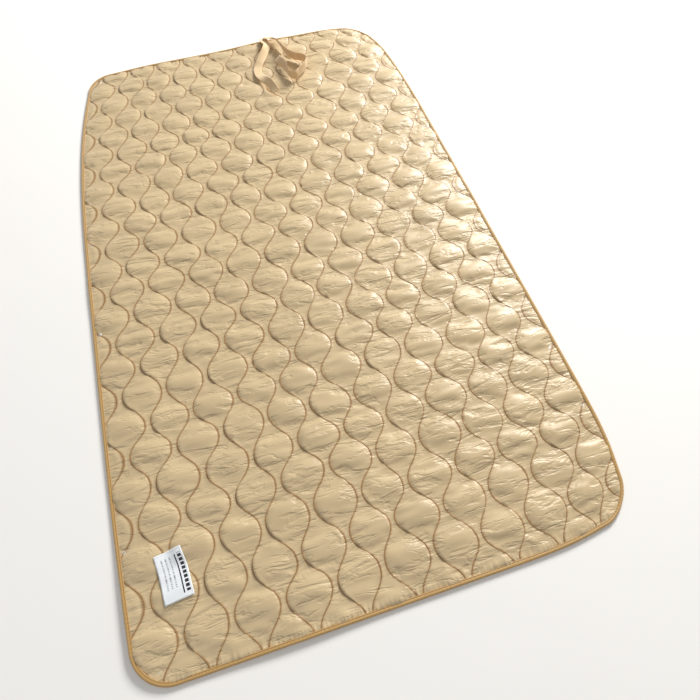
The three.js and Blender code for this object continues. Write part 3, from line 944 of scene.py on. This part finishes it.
class BLANKET_OT_ties(bpy.types.Operator):
    """Tie tapes with their sewn end"""

    bl_idname = "blanket.ties"
    bl_label = "Tie tapes"

    # Each route: mm across from the root, mm in from the head edge, mm of the lower edge above the face, and
    # degrees of lean, where 0 lies flat and 90 stands on its edge.
    TAPE_A = (
        (-5, 1.5, -1.2, 0), (-5, 12, 2.2, 2), (-6, 24, 2.2, 9), (-3, 42, 3.2, 20), (-3, 60, 3.8, 38),
        (-11, 78, 3.2, 48), (-24, 96, 2.5, 34), (-38, 114, 2.6, 16), (-50, 132, 0.7, 3), (-58, 150, 0.4, 0),
        (-60, 170, 0.4, 0), (-57, 190, 2, -10), (-50, 210, 2, -30), (-42, 230, 2.5, -44), (-35, 249, 2.4, -34),
        (-28, 268, 2.1, -18),
    )
    TAPE_B = (
        (9, 2.5, 1.25, 0), (9, 14, 5.35, 8), (20, 29, 5.75, 24), (31, 44, 4.2, 56), (38, 62, 2.5, 72),
        (43, 82, 2.1, 80), (49, 104, 1.7, 86), (58, 125, 1.5, 90), (73, 142, 1.5, 90), (91, 153, 1.5, 90),
        (102, 168, 1.5, 90), (94, 185, 1.5, 88), (79, 198, 1.4, 84), (62, 210, 1.3, 80), (45, 221, 1.1, 86),
        (31, 215, 1.3, 90), (26, 199, 1.3, 88), (26, 180, 0.9, 76), (24, 160, 0.8, 60), (19, 140, 1.3, 44),
        (14, 121, 1.9, 28),
    )
    FACE = 14.2  # mm, the height that the routes count from

    def execute(self, context):
        low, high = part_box("tie_anchor")
        self.root = (low[0] + high[0]) / 2
        shades = tuple(colours().tape), tuple(colours().tape_furrow_shade)
        cloth = shared(ribbed_material, "cotton_twill_tape", *shades, 1.5 * MM, 0.8, 0.35)
        tapes = (("short_tie_tape", "tie_tape_a", self.TAPE_A), ("long_tie_tape", "tie_tape_b", self.TAPE_B))
        for name, node, route in tapes:
            centre, across = self.curve(route)
            tape = self.ribbon(name, centre, across, cloth)
            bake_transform(tape)
            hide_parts(node)
        self.sewn_end(cloth)
        return {"FINISHED"}

    def curve(self, route):
        """Middle line of a tape and, at each of its points, the unit direction of its width."""
        fine = spline(route, 10)
        lean = np.radians(fine[:, 3])
        rise = np.abs(np.sin(lean)) * sizes().tape_width / 2
        flat = np.stack([self.root + fine[:, 0] * MM, HALF_LENGTH - fine[:, 1] * MM], 1)
        height = (self.FACE + fine[:, 2]) * MM + rise
        centre = lay(np.concatenate([flat, height[:, None]], 1))
        along = unit(np.gradient(centre, axis=0))
        side = unit(np.stack([along[:, 1], -along[:, 0], 0 * along[:, 0]], 1))
        cosine, sine = np.cos(-lean)[:, None], np.sin(-lean)[:, None]
        return centre, side * cosine + np.cross(along, side) * sine

    def ribbon(self, name, centre, across, cloth):
        """A flat tape of real thickness: a thin bar, finer at its two edges, carried along the middle line."""
        half, thin = sizes().tape_width / 2, sizes().tape_thick / 2
        count = 11
        share = np.linspace(-1, 1, count)
        u = np.concatenate([share, share[::-1]]) * half
        w = np.repeat([thin, -thin], count) * np.where(np.abs(u) > 0.97 * half, 0.5, 1)
        normal = unit(np.cross(unit(np.gradient(centre, axis=0)), across))
        grid = centre[:, None] + u[None, :, None] * across[:, None] + w[None, :, None] * normal[:, None]
        uv = np.stack(np.broadcast_arrays(running_length(centre)[:, None], u[None, :]), -1)
        rows, columns = grid.shape[:2]
        faces = grid_faces(rows, columns, wrap_columns=True)[:, ::-1]
        ends = []
        for start, flip in ((0, 1), ((rows - 1) * columns, -1)):
            a = start + np.arange(count - 1)
            b = start + 2 * count - 1 - np.arange(count - 1)
            ends.append(np.stack([a, a + 1, b - 1, b], 1)[:, ::flip])
        return add_piece(name, grid, np.concatenate([faces, *ends]), cloth, uv=uv)

    def sewn_end(self, cloth):
        """The middle of the tape, flat on the binding, and the zigzag bar of thread that holds it."""
        low, high = (np.array(c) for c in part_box("tie_anchor"))
        columns, rows = 14, 8
        u, v = np.meshgrid(np.linspace(0, 1, columns), np.linspace(0, 1, rows))
        edge = np.minimum(np.minimum(u, 1 - u) * columns, np.minimum(v, 1 - v) * rows)
        x, y = low[0] + u * (high[0] - low[0]), low[1] + v * (high[1] - low[1])
        dip = 0.4 * MM * np.exp(-2 * edge) + 0.3 * MM * np.exp(-(((v - 0.5) / 0.2) ** 2))
        top = np.stack([x, y, high[2] - dip], -1)
        bottom = np.stack([x, y, np.full_like(x, low[2])], -1)
        whole = closed(grid_faces(rows, columns), rows * columns)
        uv = np.stack([y, x], -1).reshape(-1, 2)
        points = lay(np.concatenate([top.reshape(-1, 3), bottom.reshape(-1, 3)]))
        anchor = add_piece("sewn_tape_end", points, whole, cloth, uv=np.concatenate([uv, uv]))
        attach(anchor, HEAD)
        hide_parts("tie_anchor")
        low, high = (np.array(c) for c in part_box("tie_bartack"))
        turns = 22
        zig = np.linspace(low[0], high[0], turns * 2 + 1)
        zag = np.where(np.arange(len(zig)) % 2 == 0, low[1], high[1])
        path = np.stack([zig, zag, np.full(len(zig), high[2])], 1)
        points, faces = stitched_tube(lay(spline(path, 3)), UP, 3 * MM, 0.3 * MM)
        bar = add_piece("tape_bartack", points, faces, thread())
        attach(bar, HEAD)
        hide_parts("tie_bartack")


STEPS = (
    BLANKET_OT_stage,
    BLANKET_OT_covers,
    BLANKET_OT_wadding,
    BLANKET_OT_seams,
    BLANKET_OT_binding,
    BLANKET_OT_label,
    BLANKET_OT_ties,
)


class BLANKET_PT_panel(bpy.types.Panel):
    """Lists the blanket's pieces and settings"""

    bl_idname = "BLANKET_PT_panel"
    bl_label = "Quilted blanket"
    bl_space_type = "VIEW_3D"
    bl_region_type = "UI"
    bl_category = "Blanket"

    def draw(self, context):
        for step in STEPS:
            self.layout.operator(step.bl_idname, text=step.bl_label)
        for group in (context.scene.blanket_sizes, context.scene.blanket_colours):
            for key in group.__annotations__:
                self.layout.prop(group, key)


CLASSES = (BlanketSizes, BlanketColours, *STEPS, BLANKET_PT_panel)


def register():
    for cls in CLASSES:
        bpy.utils.register_class(cls)
    bpy.types.Scene.blanket_sizes = PointerProperty(type=BlanketSizes)
    bpy.types.Scene.blanket_colours = PointerProperty(type=BlanketColours)


def unregister():
    del bpy.types.Scene.blanket_sizes, bpy.types.Scene.blanket_colours
    for cls in reversed(CLASSES):
        bpy.utils.unregister_class(cls)


def main():
    register()
    for step in STEPS:
        group, name = step.bl_idname.split(".")
        getattr(getattr(bpy.ops, group), name)()


if __name__ == "__main__":
    main()
